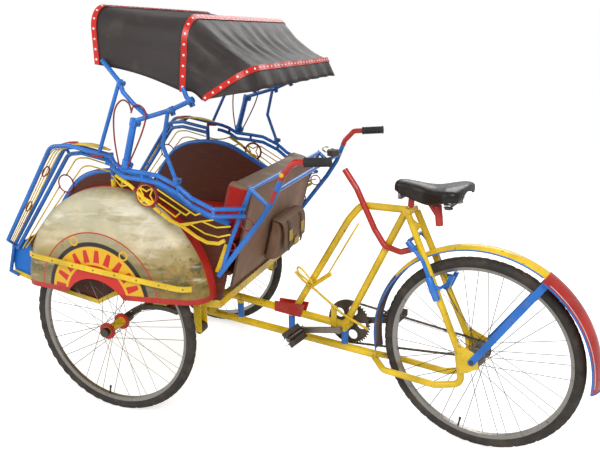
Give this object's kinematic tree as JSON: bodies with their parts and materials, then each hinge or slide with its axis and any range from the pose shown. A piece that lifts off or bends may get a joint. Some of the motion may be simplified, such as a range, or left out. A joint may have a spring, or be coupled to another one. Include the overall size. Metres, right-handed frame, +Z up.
{
  "type": "cycle rickshaw",
  "caption": "Cycle rickshaw: a hooded passenger cab on spoked wheels in front, steered as a whole, with domed mudguards and tube rails, and a rider's frame with saddle, cranks and wheel behind.",
  "frame": {"origin": "centre of the whole vehicle's box, on the ground it stands on, with the rider's frame turned as parked", "axes": "+X back from the cab towards the rider's wheel, +Y to the rider's right, +Z up"},
  "size_m": [2.3046, 1.046, 1.545],
  "materials": {
    "tyre": "matte",
    "wheel_steel": "satin",
    "dark_steel": "satin",
    "blue_paint": "gloss",
    "yellow_paint": "gloss",
    "red_paint": "gloss",
    "maroon_panel": "satin",
    "cream_panel": "gloss",
    "red_vinyl": "satin",
    "grey_sheet": "matte",
    "hood_cloth": "satin",
    "black_rubber": "matte",
    "saddle_leather": "satin"
  },
  "bodies": {
    "cab": {"front_axle": "dark_steel", "underframe": "yellow_paint", "footwell": "yellow_paint", "seat_box": "maroon_panel", "seat_cushion": "red_vinyl", "back_cushion": "red_vinyl", "backrest_sheet": "grey_sheet", "tool_bag": "grey_sheet", "push_frame": "blue_paint", "bell": "wheel_steel", "hood_bows": "blue_paint", "hood_canopy": "hood_cloth", "leaf_spring_left": "dark_steel", "leaf_spring_right": "dark_steel", "side_panel_left": "maroon_panel", "side_panel_right": "maroon_panel", "mudguard_left": "cream_panel", "mudguard_right": "cream_panel", "guard_rail_left": "blue_paint", "guard_rail_right": "blue_paint", "guard_rods_left": "yellow_paint", "guard_rods_right": "yellow_paint", "side_rail_left": "blue_paint", "side_rail_right": "blue_paint", "wing_left": "yellow_paint", "wing_right": "yellow_paint", "hood_stay_left": "blue_paint", "hood_stay_right": "blue_paint", "handle_left": "red_paint", "handle_right": "red_paint", "grip_left": "black_rubber", "grip_right": "black_rubber"},
    "front_wheel_left": {"front_tyre_left": "tyre", "front_rim_left": "wheel_steel", "front_hub_left": "wheel_steel"},
    "front_wheel_right": {"front_tyre_right": "tyre", "front_rim_right": "wheel_steel", "front_hub_right": "wheel_steel"},
    "rear_frame": {"main_frame": "yellow_paint", "joint_plates": "red_paint", "dropouts": "yellow_paint", "rear_axle": "dark_steel", "chain": "dark_steel", "seat_post": "red_paint", "saddle": "saddle_leather", "brake_lever": "red_paint", "brake_yoke": "blue_paint", "foot_brake": "yellow_paint", "rear_mudguard": "yellow_paint", "mudguard_flap": "red_paint", "mudguard_stays": "blue_paint"},
    "rear_wheel": {"rear_tyre": "tyre", "rear_rim": "wheel_steel", "rear_hub": "dark_steel"},
    "cranks": {"crankset": "dark_steel"},
    "left_pedal": {"pedal_left": "dark_steel"},
    "right_pedal": {"pedal_right": "dark_steel"}
  },
  "joints": [
    {"name": "steering", "type": "hinge", "parent": "cab", "child": "rear_frame", "pos_m": [-0.40305, 0, 0.458], "axis": [0, 0, 1], "range_deg": [-22.5, 47.5]},
    {"name": "front_wheel_spin_left", "type": "hinge", "parent": "cab", "child": "front_wheel_left", "pos_m": [-0.60305, -0.452, 0.355], "axis": [0, 1, 0], "continuous": true},
    {"name": "front_wheel_spin_right", "type": "hinge", "parent": "cab", "child": "front_wheel_right", "pos_m": [-0.60305, 0.452, 0.355], "axis": [0, 1, 0], "continuous": true},
    {"name": "rear_wheel_spin", "type": "hinge", "parent": "rear_frame", "child": "rear_wheel", "pos_m": [0.75971, -0.25778, 0.355], "axis": [0.2164, 0.9763, 0], "continuous": true},
    {"name": "crank_spin", "type": "hinge", "parent": "rear_frame", "child": "cranks", "pos_m": [0.24421, -0.14349, 0.342], "axis": [0.2164, 0.9763, 0], "continuous": true},
    {"name": "pedal_spin_left", "type": "hinge", "parent": "cranks", "child": "left_pedal", "pos_m": [0.06015, -0.21741, 0.30421], "axis": [0.2164, 0.9763, 0], "continuous": true},
    {"name": "pedal_spin_right", "type": "hinge", "parent": "cranks", "child": "right_pedal", "pos_m": [0.42826, -0.06958, 0.37979], "axis": [0.2164, 0.9763, 0], "continuous": true}
  ]
}
